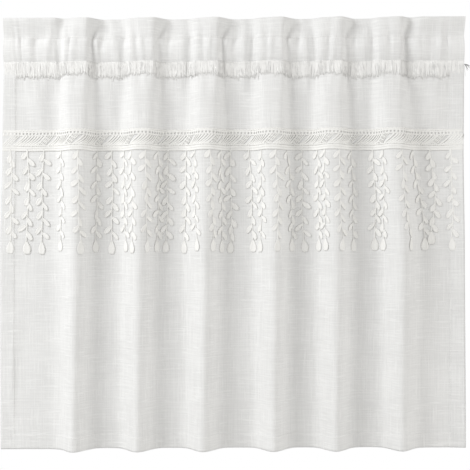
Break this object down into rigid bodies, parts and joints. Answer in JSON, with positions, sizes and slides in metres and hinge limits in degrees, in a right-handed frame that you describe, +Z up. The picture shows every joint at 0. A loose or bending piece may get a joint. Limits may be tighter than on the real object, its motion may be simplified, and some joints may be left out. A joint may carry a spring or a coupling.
{
  "type": "cafe curtain",
  "caption": "Cafe curtain of semi-sheer slub cloth in soft hanging folds, with a ruffled rod-pocket heading, a frayed fringe and a lace band with hanging leaf strands.",
  "frame": {"origin": "on the rod pocket's axis, at mid width of the hung cloth", "axes": "+X along the rod towards the right edge as seen from the front, -Y towards the front, +Z up"},
  "size_m": [0.6625, 0.0428, 0.6102],
  "materials": {
    "slub_cloth": "matt semi-sheer slub weave",
    "fringe_thread": "matt frayed thread",
    "crochet_cotton": "matt crochet cotton"
  },
  "bodies": {
    "root": {"panel": "slub_cloth", "heading": "slub_cloth", "pocket_fringe": "fringe_thread", "lace_trim": "crochet_cotton"}
  },
  "joints": []
}
